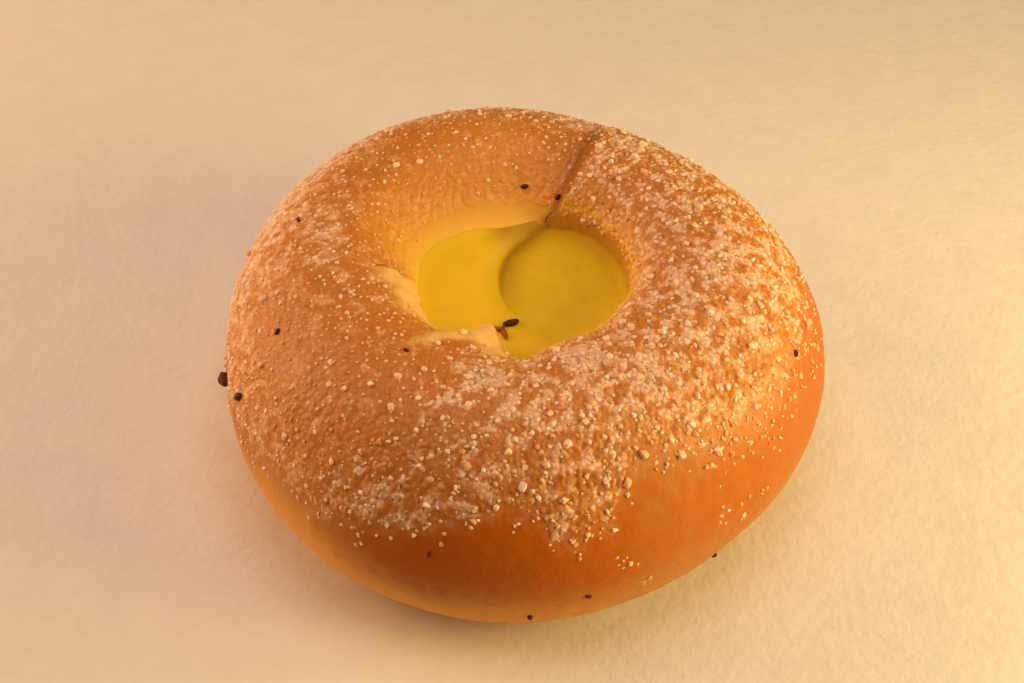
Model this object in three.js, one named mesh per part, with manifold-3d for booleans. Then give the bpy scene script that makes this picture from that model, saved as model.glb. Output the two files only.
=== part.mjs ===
// A sugared custard bun: a round, slightly lopsided yeast bun whose top sinks into a well of set custard.
// Coarse sugar covers the right and the front of the crust and thins out to the left, among specks of seed.
// Millimetres, +Z up. The origin is under the middle of the bun, on the surface that the bun stands on.
// Angles are in degrees and turn from the right (+X) to the back (+Y). The front is at 270.
import * as THREE from "three";
import { mergeVertices } from "three/addons/utils/BufferGeometryUtils.js";
import Module from "manifold-3d";

// Driving dimensions of the bun
const BUN_RADIUS = 43;
const BUN_HEIGHT = 35.7;
const WAIST_HEIGHT = 16;
const FOOT_RADIUS = 29.7;
const CREST_RADIUS = 25;

// Driving dimensions of the well in its top
const WELL_RADIUS = 14.6;
const WELL_EDGE_HEIGHT = 29.2;
const WELL_TAPER = 3.6;
const WELL_FLOOR_HEIGHT = 17;

// The outline isn't a true circle: each wave swells it by so much, with a peak at that angle.
const OUTLINE_WAVES = [
  { waves: 1, swell: 0.9, peak: 200 },
  { waves: 2, swell: 0.72, peak: 127 },
  { waves: 3, swell: 1, peak: 119 },
  { waves: 4, swell: 0.28, peak: 2 },
];

// The well's edge swings out and in. A torn flap of crumb hangs over it, with a notch to the flap's right.
const FLAP = { angle: 247, halfWidth: 12, reach: -4.4 };
const NOTCH = { angle: 269, halfWidth: 9, reach: 2.2 };
const EDGE_BUMPS = [
  FLAP,
  NOTCH,
  { angle: 225, halfWidth: 24, reach: 1.4 },
  { angle: 102, halfWidth: 16, reach: -1.5 },
  { angle: 152, halfWidth: 18, reach: 1.2 },
  { angle: 20, halfWidth: 40, reach: 0.4 },
];
const EDGE_HEIGHT_BUMPS = [
  { angle: 320, halfWidth: 70, reach: 0.8 },
  { angle: 268, halfWidth: 12, reach: -1.4 },
  { angle: 130, halfWidth: 60, reach: -0.5 },
];

// Two splits in the crust run from the well outwards. On its sunken side each drops, then eases back up.
const CREASE = { angle: 66, bend: 10, side: 1, drop: 1.3, ease: 40, outerEnd: 0.6 };
const TEAR = { angle: 187, bend: 4, side: -1, drop: 1.7, ease: 24, outerEnd: 0 };
const SPLIT_WIDTH = 4;
const SPLIT_FADE = 0.45;

// Between the splits the crust runs down to the custard as a soft funnel instead of a round lip.
const FUNNEL_FROM = [68, 95];
const FUNNEL_TO = [160, 187];

// Custard: a round dollop on the right, a groove round its left and back, and a higher lobe past the groove
const CUSTARD_GAP = 0.3;
const CUSTARD_LEVEL = 27.3;
const DOLLOP_CENTRE = new THREE.Vector2(9.4, 2.4);
const DOLLOP_RADIUS = 12;
const DOLLOP_RISE = 0.6;
const GROOVE_ANGLE = 160;
const GROOVE_SPREAD = 75;
const GROOVE_DEPTH = 0.9;
const GROOVE_WIDTH = 1.2;
const LOBE_RISE = 0.9;
const LOBE_WIDTH = 2.2;

// Sugar: the largest crystals, spread by the golden angle and kept where the crust is sugared
const CRYSTAL_TRIES = 330;
const CRYSTAL_SIZE = [0.8, 1.4];
const CRYSTAL_SUNK = 0.06;
const CRYSTAL_MARGIN = { edge: 1.5, outline: 2 };
const SUGARED_FROM = 236;
const SUGARED_TO = 360 + CREASE.angle;
const SUGAR_LOW_EDGE = 0.57;
const SUGAR_TONGUES = [
  { angle: 247, halfWidth: 13, reach: 0.17 },
  { angle: 280, halfWidth: 7, reach: 0.16 },
  { angle: 325, halfWidth: 17, reach: 0.12 },
];
const THIN_SUGAR = 0.16;
const THIN_SUGAR_LOW_EDGE = 0.92;
const RANDOM_SEED = 20;

// Seed specks on the crust: angle, station on the section, and length
const SEED_SPECKS = [
  [89, -0.57, 1.2],
  [201, 0.38, 1],
  [192, 0.9, 3],
  [203, 0.75, 1.9],
  [254, 0.8, 0.9],
  [271, 1.24, 1.2],
  [281, 1.07, 0.9],
  [309, 1.3, 0.9],
  [340, 0.55, 1.1],
  [232, -0.05, 0.9],
  [72, -0.62, 1.1],
  [166, 0.27, 1],
  [120, 0.7, 1.3],
  [38, 1.1, 1.2],
];
const SEED_WIDTH_SHARE = 0.56;
const SEED_PROUD_SHARE = 0.14;
const CUSTARD_SEED = { angle: 256, radius: 7.6, length: 3, spin: 0.5 };

// Faceting
const BUN_SEGMENTS = 96;
const BUN_RINGS = { heel: 7, shoulder: 10, lip: 8, wall: 4 };
const CUSTARD_SEGMENTS = 56;
const CUSTARD_RINGS = { side: 3, top: 12 };

// Finishes
const CRUST_FINISH = { color: 0xc47a35, roughness: 0.55, metalness: 0 };
const CUSTARD_FINISH = { color: 0xd9a51c, roughness: 0.3, metalness: 0 };

const { asin, atan2, cos, exp, floor, imul, max, PI, sin, sqrt } = Math;
const { clamp, degToRad, lerp, smoothstep } = THREE.MathUtils;
const QUARTER_TURN = PI / 2;
const GOLDEN_ANGLE = 180 * (3 - sqrt(5));

// Wraps an angle into -180 to 180 degrees.
function wrapped(angle) {
  return ((((angle + 180) % 360) + 360) % 360) - 180;
}

// The sum of a list of waves at an angle.
function waveSum(waves, angle) {
  return waves.reduce((sum, wave) => sum + wave.swell * cos(degToRad(wave.waves * (angle - wave.peak))), 0);
}

// The sum of a list of smooth bumps at an angle.
function bumpSum(bumps, angle) {
  return bumps.reduce((sum, b) => sum + b.reach * exp(-((wrapped(angle - b.angle) / b.halfWidth) ** 2)), 0);
}

function outlineRadius(angle) {
  return BUN_RADIUS + waveSum(OUTLINE_WAVES, angle);
}

function crestRadius(angle) {
  return (CREST_RADIUS * outlineRadius(angle)) / BUN_RADIUS;
}

function edgeRadius(angle) {
  return WELL_RADIUS + bumpSum(EDGE_BUMPS, angle);
}

function edgeHeight(angle) {
  return WELL_EDGE_HEIGHT + bumpSum(EDGE_HEIGHT_BUMPS, angle);
}

// How far the crust has dropped past a split. The split bends as it nears the well.
function splitDrop(split, angle, station) {
  const line = split.angle + split.bend * clamp(-station, 0, 1) ** 3;
  const past = split.side * wrapped(angle - line);
  const along = 1 - smoothstep(station, split.outerEnd - SPLIT_FADE, split.outerEnd);
  return split.drop * along * smoothstep(past, 0, SPLIT_WIDTH) * exp(-max(past, 0) / split.ease);
}

function funnelShare(angle) {
  const turned = (angle + 360) % 360;
  return smoothstep(turned, ...FUNNEL_FROM) * (1 - smoothstep(turned, ...FUNNEL_TO));
}

// Radius of the well's wall at a height. The wall closes in towards the floor.
function wallRadius(angle, height) {
  const brink = edgeHeight(angle);
  const depth = clamp((brink - height) / (brink - WELL_FLOOR_HEIGHT), 0, 1);
  return edgeRadius(angle) - WELL_TAPER * depth ** 2;
}

// The bun's section at an angle, as a radius and a height. Stations run from the foot's middle, 3, by the
// foot's edge, 2, the waist, 1, the crest, 0, the well's edge, -1, and its floor, -2, to its middle, -3.
function section(angle, station) {
  const outline = outlineRadius(angle);
  const foot = (FOOT_RADIUS * outline) / BUN_RADIUS;
  const crest = crestRadius(angle);
  if (station >= 2) return [foot * (3 - station), 0];
  if (station >= 1) {
    const turn = (station - 1) * QUARTER_TURN;
    return [lerp(foot, outline, cos(turn)), WAIST_HEIGHT * (1 - sin(turn))];
  }
  if (station >= 0) {
    const turn = station * QUARTER_TURN;
    return [lerp(crest, outline, sin(turn)), lerp(WAIST_HEIGHT, BUN_HEIGHT, cos(turn))];
  }
  const edge = edgeRadius(angle);
  const brink = edgeHeight(angle);
  if (station >= -1) {
    const turn = -station * QUARTER_TURN;
    const funnel = funnelShare(angle);
    const inward = lerp(sin(turn), -station, funnel);
    const down = lerp(1 - cos(turn), smoothstep(-station, 0, 1), funnel);
    return [lerp(crest, edge, inward), lerp(BUN_HEIGHT, brink, down)];
  }
  if (station >= -2) {
    const height = lerp(brink, WELL_FLOOR_HEIGHT, -1 - station);
    return [wallRadius(angle, height), height];
  }
  return [wallRadius(angle, WELL_FLOOR_HEIGHT) * (3 + station), WELL_FLOOR_HEIGHT];
}

function polar(angle, radius, height) {
  return new THREE.Vector3(radius * cos(degToRad(angle)), radius * sin(degToRad(angle)), height);
}

// A point of the bun's skin, with the splits let into the section. They fade out down the well's wall.
function skinPoint(angle, station) {
  const [radius, height] = section(angle, station);
  const wallFade = clamp(3 + 2 * station, 0, 1);
  const drop = splitDrop(CREASE, angle, station) + splitDrop(TEAR, angle, station);
  return polar(angle, radius, height - drop * wallFade);
}

// Outward normal of the skin, from two short steps along it.
function skinNormal(angle, station) {
  const angleStep = 1;
  const stationStep = 0.02;
  const here = skinPoint(angle, station);
  const round = skinPoint(angle + angleStep, station).sub(here);
  const inward = skinPoint(angle, station - stationStep).sub(here);
  return round.cross(inward).normalize();
}

// Height of the custard's top at a point.
function custardHeight(x, y) {
  const fromDollop = new THREE.Vector2(x, y).sub(DOLLOP_CENTRE);
  const out = fromDollop.length() - DOLLOP_RADIUS;
  const bearing = (atan2(fromDollop.y, fromDollop.x) * 180) / PI;
  const beside = cos(QUARTER_TURN * clamp(wrapped(bearing - GROOVE_ANGLE) / GROOVE_SPREAD, -1, 1));
  const dollop = DOLLOP_RISE * max(0, 1 - (fromDollop.length() / DOLLOP_RADIUS) ** 2);
  const groove = GROOVE_DEPTH * beside * exp(-((out / GROOVE_WIDTH) ** 2));
  const lobe = LOBE_RISE * beside * smoothstep(out, 0, LOBE_WIDTH);
  return CUSTARD_LEVEL + dollop - groove + lobe;
}

// Turns a profile of stations into a closed surface whose points are placed by their angle and station.
function latheSurface(stations, segments, place) {
  const last = stations.length - 1;
  const profile = stations.map((station, i) => new THREE.Vector2(i === 0 || i === last ? 0 : 1, i));
  const lathe = new THREE.LatheGeometry(profile, segments).rotateX(QUARTER_TURN);
  const position = lathe.getAttribute("position");
  for (let i = 0; i < position.count; i++) {
    const angle = (360 * (floor(i / stations.length) % segments)) / segments;
    const point = place(angle, stations[i % stations.length]);
    position.setXYZ(i, point.x, point.y, point.z);
  }
  return lathe;
}

// Evenly spaced stations of one stretch of a profile, without its end.
function stretch(from, to, count) {
  return Array.from({ length: count }, (_, i) => lerp(from, to, i / count));
}

const wasm = await Module();
wasm.setup();

// A closed geometry as a solid that can be joined.
function solidOf(geometry) {
  const bare = geometry.clone();
  bare.deleteAttribute("normal");
  bare.deleteAttribute("uv");
  const merged = mergeVertices(bare);
  const vertProperties = new Float32Array(merged.getAttribute("position").array);
  const triVerts = new Uint32Array(merged.getIndex().array);
  return new wasm.Manifold(new wasm.Mesh({ numProp: 3, vertProperties, triVerts }));
}

// A solid as a geometry again.
function geometryOf(solid) {
  const mesh = solid.getMesh();
  const geometry = new THREE.BufferGeometry();
  geometry.setAttribute("position", new THREE.BufferAttribute(mesh.vertProperties, mesh.numProp));
  geometry.setIndex(new THREE.BufferAttribute(mesh.triVerts, 1));
  geometry.computeVertexNormals();
  return geometry;
}

// Joins small pieces to a body.
function fused(body, pieces) {
  return pieces.reduce((solid, piece) => solid.add(solidOf(piece)), solidOf(body));
}

// Seeded random numbers from 0 to 1.
function randomNumbers(seed) {
  let state = seed;
  return () => {
    state = (imul(state, 1664525) + 1013904223) >>> 0;
    return state / 2 ** 32;
  };
}

// Share of the crust that sugar covers: thick on the right and front, with tongues down the side, else thin.
function sugarCover(angle, station) {
  const turned = ((angle - SUGARED_FROM + 360) % 360) + SUGARED_FROM;
  if (turned > SUGARED_TO) return station < THIN_SUGAR_LOW_EDGE ? THIN_SUGAR : 0;
  return station < SUGAR_LOW_EDGE + bumpSum(SUGAR_TONGUES, angle) ? 1 : 0;
}

// The station whose section has a radius: on the shoulder outside the crest, on the lip inside it.
function stationAt(angle, radius) {
  const crest = crestRadius(angle);
  const end = radius > crest ? outlineRadius(angle) : edgeRadius(angle);
  const turn = asin(clamp((radius - crest) / (end - crest), 0, 1));
  return (radius > crest ? turn : -turn) / QUARTER_TURN;
}

// Sugar crystals as small turned boxes, half sunk in the crust.
function sugarCrystals() {
  const random = randomNumbers(RANDOM_SEED);
  const innermost = WELL_RADIUS + CRYSTAL_MARGIN.edge;
  const outermost = BUN_RADIUS - CRYSTAL_MARGIN.outline;
  const crystals = [];
  for (let n = 0; n < CRYSTAL_TRIES; n++) {
    const angle = (n * GOLDEN_ANGLE) % 360;
    const radius = sqrt(lerp(innermost ** 2, outermost ** 2, (n + 0.5) / CRYSTAL_TRIES));
    const station = stationAt(angle, radius);
    const [draw, length, width, spin, tip] = Array.from({ length: 5 }, random);
    if (draw > sugarCover(angle, station)) continue;
    const size = lerp(...CRYSTAL_SIZE, length ** 2);
    const crystal = new THREE.BoxGeometry(size, size * lerp(0.65, 1, width), size * 0.8);
    crystal.rotateX(tip * PI).rotateZ(spin * PI);
    const at = skinPoint(angle, station).addScaledVector(skinNormal(angle, station), -CRYSTAL_SUNK * size);
    crystals.push(crystal.translate(at.x, at.y, at.z));
  }
  return crystals;
}

// A seed as a stretched icosahedron that lies along the surface, a little proud of it.
function seedAt(point, normal, length, spin) {
  const seed = new THREE.IcosahedronGeometry(length / 2, 0);
  seed.scale(1, SEED_WIDTH_SHARE, SEED_WIDTH_SHARE).rotateZ(spin);
  seed.applyQuaternion(new THREE.Quaternion().setFromUnitVectors(new THREE.Vector3(0, 0, 1), normal));
  const at = point.clone().addScaledVector(normal, SEED_PROUD_SHARE * length);
  return seed.translate(at.x, at.y, at.z);
}

function crustSeeds() {
  return SEED_SPECKS.map(([angle, station, length], i) =>
    seedAt(skinPoint(angle, station), skinNormal(angle, station), length, i),
  );
}

function bunGeometry() {
  const stations = [
    3,
    ...stretch(2, 1, BUN_RINGS.heel),
    ...stretch(1, 0, BUN_RINGS.shoulder),
    ...stretch(0, -1, BUN_RINGS.lip),
    ...stretch(-1, -2, BUN_RINGS.wall),
    -2,
    -3,
  ];
  const body = latheSurface(stations, BUN_SEGMENTS, skinPoint);
  return geometryOf(fused(body, [...sugarCrystals(), ...crustSeeds()]));
}

// A point of the custard's surface: its floor's middle, 0, its side from 1 up to 2, and its top from 2 to 3.
function custardPoint(angle, station) {
  const bottom = WELL_FLOOR_HEIGHT + CUSTARD_GAP;
  if (station < 1) return new THREE.Vector3(0, 0, bottom);
  const brim = polar(angle, wallRadius(angle, CUSTARD_LEVEL) - CUSTARD_GAP, 0);
  if (station < 2) {
    const height = lerp(bottom, custardHeight(brim.x, brim.y), station - 1);
    return polar(angle, wallRadius(angle, height) - CUSTARD_GAP, height);
  }
  const top = brim.multiplyScalar(3 - station);
  return top.setZ(custardHeight(top.x, top.y));
}

function custardGeometry() {
  const stations = [0, ...stretch(1, 2, CUSTARD_RINGS.side), ...stretch(2, 3, CUSTARD_RINGS.top), 3];
  const body = latheSurface(stations, CUSTARD_SEGMENTS, custardPoint);
  const { angle, radius, length, spin } = CUSTARD_SEED;
  const at = polar(angle, radius, 0);
  const seed = seedAt(at.setZ(custardHeight(at.x, at.y)), new THREE.Vector3(0, 0, 1), length, spin);
  return geometryOf(fused(body, [seed]));
}

function named(name, geometry, finish) {
  const mesh = new THREE.Mesh(geometry, new THREE.MeshStandardMaterial(finish));
  mesh.name = name;
  return mesh;
}

const custardBun = new THREE.Group();
custardBun.add(named("bun", bunGeometry(), CRUST_FINISH));
custardBun.add(named("custard", custardGeometry(), CUSTARD_FINISH));

export default custardBun;
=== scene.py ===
import math
from typing import Callable, NamedTuple

import bmesh
import bpy
import numpy as np
from bpy.props import FloatProperty, FloatVectorProperty, IntProperty, PointerProperty
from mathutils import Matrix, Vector, noise


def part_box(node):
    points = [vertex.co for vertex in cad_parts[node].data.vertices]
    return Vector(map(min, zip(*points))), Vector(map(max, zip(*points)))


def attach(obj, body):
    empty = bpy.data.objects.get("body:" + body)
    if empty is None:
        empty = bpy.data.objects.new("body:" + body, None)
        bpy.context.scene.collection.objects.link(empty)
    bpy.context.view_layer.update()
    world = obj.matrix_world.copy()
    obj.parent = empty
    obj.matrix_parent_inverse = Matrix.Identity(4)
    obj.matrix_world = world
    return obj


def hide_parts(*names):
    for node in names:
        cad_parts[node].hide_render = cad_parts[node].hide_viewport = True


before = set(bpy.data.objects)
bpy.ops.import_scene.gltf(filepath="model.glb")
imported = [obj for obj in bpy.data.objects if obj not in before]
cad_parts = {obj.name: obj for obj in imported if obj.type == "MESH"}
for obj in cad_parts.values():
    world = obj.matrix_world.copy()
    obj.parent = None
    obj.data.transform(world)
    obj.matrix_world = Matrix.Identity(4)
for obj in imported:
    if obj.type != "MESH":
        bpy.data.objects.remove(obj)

bl_info = {
    "name": "Custard Bun",
    "version": (1, 0, 0),
    "blender": (4, 5, 0),
    "location": "3D View > Sidebar > Custard Bun",
    "description": "Bakes a sugared bun with a well of custard, and lights it on a plain floor",
    "category": "Add Mesh",
}

MM = 0.001
QUARTER_TURN = math.pi / 2
GOLDEN_ANGLE = 180 * (3 - math.sqrt(5))
FOOT_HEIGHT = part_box("bun")[0].z

# The outline isn't a true circle: waves per turn, swell, and the angle of a peak.
OUTLINE_WAVES = ((1, 0.9 * MM, 200), (2, 0.72 * MM, 127), (3, 1.0 * MM, 119), (4, 0.28 * MM, 2))

# The well's edge swings out and in: angle, half width and reach.
# The first is the torn flap, the second the notch.
FLAP_ANGLE, FLAP_HALF_WIDTH = 247, 12
EDGE_BUMPS = (
    (FLAP_ANGLE, FLAP_HALF_WIDTH, -4.4 * MM),
    (269, 9, 2.2 * MM),
    (225, 24, 1.4 * MM),
    (102, 16, -1.5 * MM),
    (152, 18, 1.2 * MM),
    (20, 40, 0.4 * MM),
)
EDGE_HEIGHT_BUMPS = ((320, 70, 0.8 * MM), (268, 12, -1.4 * MM), (130, 60, -0.5 * MM))

# Two splits in the crust: angle, bend near the well, sunken side, drop, degrees to ease back up, outer end.
CREASE = (66, 10, 1, 1.3 * MM, 40, 0.6)
TEAR = (187, 4, -1, 1.7 * MM, 24, 0.0)
SPLIT_WIDTH = 2.2
SPLIT_FADE = 0.45
SPLIT_WALL_FADE = (-1.5, -1)

# The painted shade in the bottom of each split: degrees past it and half width. Stations say where it eases
# and ends.
CREASE_BOTTOM = (1, 2.4)
CREASE_EASES = (-0.3, 0.4)
EASED_CREASE = 0.45
TEAR_BOTTOM = (3.5, 3.5)
TEAR_ENDS = (-0.75, -0.4)
TEAR_DARKNESS = 0.6
SPLITS_END = (-1.2, -0.95)

# Between the splits the crust runs down to the custard as a soft funnel.
FUNNEL_FROM = (68, 95)
FUNNEL_TO = (160, 187)

# Custard soaks into the dough: its reach round the well, in the funnel, and at the funnel's wettest angle.
STAIN_REACH, FUNNEL_STAIN_REACH, WETTEST_STAIN_REACH = 2 * MM, 3 * MM, 7 * MM
STAIN_ROUND_WELL = 0.5
WETTEST = (98, 25)
SMEAR_REACH = (0.5 * MM, 2 * MM)

# Bare dough at the well's left rim, in front of the tear: its width at each angle.
PALE_RIM_ANGLES = (186, 188, 192, 203, 212, 221, 236)
PALE_RIM_WIDTHS = np.array((0, 6.6, 6.2, 4.8, 3.8, 2.6, 0.8)) * MM
PALE_RIM_FADE = (0.15, 1.45)
THINNEST_RIM = 0.2 * MM

# Bare dough on the flap fades towards its sides, in degrees, and outwards. Torn dough has ragged edges.
FLAP_SIDES = (FLAP_HALF_WIDTH, 20)
FLAP_REACH = (5 * MM, 9.5 * MM)
TORN_LUMP = 2.2 * MM
RAGGED_RIM = 0.3
RAGGED_SIDES, RAGGED_REACH = 4, 1.5 * MM
TORN_ENDS = (-1.6, -1.1)

# How far each step of a seed shifts a noise, the pebbles and the grains.
NOISE_SHIFT, PEBBLE_SHIFT, GRAIN_SHIFT = 17.3, 9.1, 5.7

# Lumps of the crust, the bare crumb and the custard: height, size and seed of each noise.
CRUST_LUMPS = (
    (0.22 * MM, 13 * MM, 0),
    (0.1 * MM, 5 * MM, 1),
    (0.02 * MM, 0.9 * MM, 2),
    (0.07 * MM, 2.4 * MM, 3),
)
CRUMB_LUMPS = ((0.6 * MM, 1.7 * MM, 4),)
CUSTARD_LUMPS = ((0.16 * MM, 3.4 * MM, 8), (0.04 * MM, 1.3 * MM, 9))

# Pebbles of melted sugar on the crust: share, size and seed.
# They and the lumps end on the foot and down the well.
PEBBLES = ((0.7, 1.7 * MM, 0), (0.3, 1.0 * MM, 1))
PEBBLE_HEIGHT = 0.09 * MM
FOOT_FADE = (1.5, 1.95)
WELL_FADE = (-1.9, -1.2)

# How the crust baked, with a painted floor bounce on the pale foot and painted shade on the well's wall
# at the back right and on the right rim: angles with their half widths, and stations.
BROWN_BAND = (0.75, 0.34)
BROWN_FRONT = (264, 26)
BROWN_RIGHT, BROWN_RIGHT_SHARE = (335, 40), 0.45
LEAST_BROWN, LEAST_BAND = 0.2, 0.25
BROWN_PATCHES = ((0.25, 16 * MM, 3),)
# The pale foot is partly the dough's own colour and partly a painted floor bounce.
PALE_FOOT, PALE_FOOT_SHARE = (0.76, 1.45), 0.5
PALE_LOWER_LEFT, LOWER_LEFT_RISE = (224, 20), 0.22
BAKED_RIGHT_FOOT, BAKED_RIGHT_SHARE = (325, 48), 0.92
BAKED_BACK_FOOT, BAKED_BACK_SHARE = (100, 80), 0.55
# Painted shade on the well's wall at the back right and on the rim at the right.
SHADED_WALL, SHADED_WALL_SHARE = (30, 45), 0.6
SHADED_WALL_ENDS = (-1, -0.6)
RIGHT_RIM, RIGHT_RIM_SHARE = (342, 32, 0.85, 0.35), 0.6
RIGHT_RIM_SUGAR = 0.4

# The crust's rings of points: from station to station, and how many.
CRUST_STRETCHES = ((2.9, 2, 8), (2, 1, 36), (1, 0, 84), (0, -1, 56), (-1, -2, 10))
WELL_FLOOR_STATIONS = (-2, -2.5)

# Custard: the gap below it, where its dollop and groove lie, and how the lobe stands over the groove.
CUSTARD_GAP = 0.3 * MM
DOLLOP_CENTRE = (9.4 * MM, 2.4 * MM)
DOLLOP_WAVES, DOLLOP_SWELL = 3, 0.2 * MM
GROOVE_ANGLE, GROOVE_SPREAD = 148, 68
LOBE_EDGE = 0.9 * MM
LOBE_TOE = LOBE_EDGE - 0.3 * MM
GROOVE_WALL = (LOBE_EDGE - 0.2 * MM, LOBE_EDGE + 0.3 * MM)

# The custard climbs a little at the wall. Painted shade darkens it below the back wall,
# and a painted sheen, a milky streak, runs along the lobe's edge.
BRIM_CLIMB = 0.25 * MM
BRIM_PARTS = (0.84, 0.98)
WALL_SHADE, WALL_SHADE_REACH = 0.85, 2.8 * MM
SHADED_FROM_LEFT = (-6.5 * MM, -2.5 * MM)
SHADED_FROM_FRONT = (-6 * MM, 9 * MM)
STREAK_OFFSET, STREAK_HALF_WIDTH = 1.2 * MM, 0.7 * MM
STREAK_SHARE, STREAK_NARROWS = 0.6, 6
# The dollop's duller colour, partly painted shade, fades over these widths.
DOLLOP_FADE = (6 * MM, 3 * MM)

# Dry sugar: station and angle along its left border, and angle and station along its fringe down the side.
SUGAR_BORDER = (
    (-1, 262),
    (-0.45, 250),
    (-0.15, 241),
    (0, 242),
    (0.1, 241),
    (0.2, 237),
    (0.3, 235),
    (0.45, 235),
    (0.6, 229),
    (0.85, 222),
)
SUGAR_FRINGE = (
    (220, 0.9),
    (231, 0.84),
    (239, 0.78),
    (247, 0.74),
    (253, 0.7),
    (256, 0.64),
    (263, 0.58),
    (270, 0.57),
    (273, 0.6),
    (275, 0.74),
    (279, 0.72),
    (286, 0.66),
    (293, 0.44),
    (303, 0.5),
    (320, 0.62),
    (345, 0.64),
    (370, 0.62),
    (390, 0.68),
    (426, 0.74),
)

# The lower edge of the largest crystals, as the solid has it, and its tongues: angle, half width and reach.
CRYSTAL_LOW_EDGE = 0.57
CRYSTAL_TONGUES = ((247, 13, 0.17), (280, 7, 0.16), (325, 17, 0.12))

# The dry sugar's borders are ragged and fade out, the lower one most on the right.
DRY_RAGGED_SIZE = 3.5 * MM
DRY_RAGGED_BORDER, DRY_RAGGED_EDGE = 6, 0.06
DRY_BORDER_FADE, DRY_CREASE_FADE = (0, 10), (0, 3)
DRY_EDGE_FADE = (0.04, 0.24)
DRY_SOFT_EDGE = (350, 45)
DRY_LOOSE_REACH = 0.08
DRY_BETWEEN_CLUMPS = 0.5
THIN_DRY, THIN_DRY_IN_PATCH = 0.03, 0.22
BARE_FROM = (0.35, 0.95)
CLUMP_SIZE, CLUMP_FADE = 1.7 * MM, 0.3

# Clear sugar lies all over the top. It runs further down the left and the back,
# and a little further on the right.
CLEAR_LOW_EDGE = 0.95
CLEAR_LEFT_FROM, CLEAR_LEFT_TO = (15, 60), (212, 240)
CLEAR_RIGHT, CLEAR_RIGHT_REACH = (325, 25), 0.25
CLEAR_ABOVE_FRINGE = 0.12
CLEAR_RAGGED = ((0.08, 5 * MM, 7), (0.06, 2 * MM, 7))
CLEAR_INNER_FADE, CLEAR_OUTER_FADE = (0.16, 0.24), (0.1, 0.16)
CLEAR_OF_WELL = (-0.7, -0.5)

# Grains that lie in clusters: angle, station, spread and number.
CLUSTERS = (
    (314, 0.9, 0.5 * MM, 6),
    (308, 0.91, 0.9 * MM, 7),
    (319, 0.94, 0.4 * MM, 4),
    (314, 1.01, 0.4 * MM, 2),
    (287, 0.91, 0.7 * MM, 8),
    (292, 1.1, 0.6 * MM, 5),
    (308, 0.5, 1.2 * MM, 6),
    (310, 0.66, 1.2 * MM, 7),
    (256, 0.74, 0.1 * MM, 2),
    (240, 0.84, 0.7 * MM, 3),
    (50, -0.87, 0.7 * MM, 8),
    (286, 0.45, 0.6 * MM, 6),
    (341, 0.58, 0.6 * MM, 6),
    (256, -0.12, 1.2 * MM, 16),
)
SHOULDER_LENGTH = 30 * MM

# Patches of drier and of wetter sugar: angle, its half width, station, its half width, and how much drier.
# The whiter patch on the left rim is painted rim light, and the wetter patch by the well's edge on the right
# is painted shade.
DRY_AND_PAINTED_LIGHT_PATCHES = (
    (170, 55, 0.75, 0.25, 0.85),
    (110, 50, 0.4, 0.2, 0.4),
    (197, 24, -0.15, 0.35, 0.5),
    (155, 35, 0.45, 0.2, 0.7),
    (75, 12, 0.35, 0.25, 0.5),
    (15, 60, 0.05, 0.4, 0.35),
    (303, 35, 0.0, 0.25, 0.3),
    (257, 8, -0.12, 0.2, 0.75),
    (168, 22, 0.1, 0.2, 0.45),
    (90, 30, 0.65, 0.2, 0.4),
    (198, 14, 0.42, 0.15, -0.35),
    (10, 30, -0.9, 0.2, -0.4),
    (224, 8, 0.8, 0.12, 0.4),
    (271, 9, 0.45, 0.12, -0.4),
    (246, 10, 0.42, 0.15, -0.35),
    (233, 14, 0.75, 0.12, -0.35),
    (332, 16, 0.5, 0.15, -0.4),
    (55, 15, -0.75, 0.25, -0.5),
)

# The largest crystals, spread by the golden angle and kept where the crust is sugared.
CRYSTAL_TRIES = 330
CRYSTAL_SIZE = (0.8 * MM, 1.4 * MM)
CRYSTAL_SUNK = 0.06
CRYSTAL_SOAKED = (0.0, 0.3)
CRYSTAL_MARGINS = (1.5 * MM, 2 * MM)
CRYSTAL_SEED = 20
CRYSTAL_DRAWS = 5
CRYSTALS_FROM = 236
THIN_SUGAR = 0.16
THIN_SUGAR_LOW_EDGE = 0.92

# The random draws that the solid has too: each number follows from the one before.
DRAW_FACTOR, DRAW_SHIFT, DRAW_RANGE = 1664525, 1013904223, 2**32

# A crystal's form: how far its corners and its sides reach, its width and its thickness.
CRYSTAL_FORMS = 12
CORNER_REACH, SIDE_REACH = (0.62, 0.85), (0.85, 1.15)
CRYSTAL_WIDTH, CRYSTAL_THICKNESS = (0.7, 1), (0.6, 0.9)

# Loose grains: the stations that they lie between, their nudge in degrees, and how they vary.
GRAIN_STATIONS = (-0.98, 1.45)
GRAIN_NUDGE = 2
GRAIN_SIZE_SPREAD = 0.22
DRIER_GRAIN = 0.4
WETTER_BELOW, DRY_HEIGHT = 0.3, 0.15
CM2_PER_M2 = 1e4

# Sheets of melted grains end at these stations, and sink into the crust where there is no sugar.
SHEET_STATIONS = (0.98, -0.98)
SHEET_FADE = (-0.98, -0.8)
SHEET_SUNK = 0.3 * MM

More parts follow.
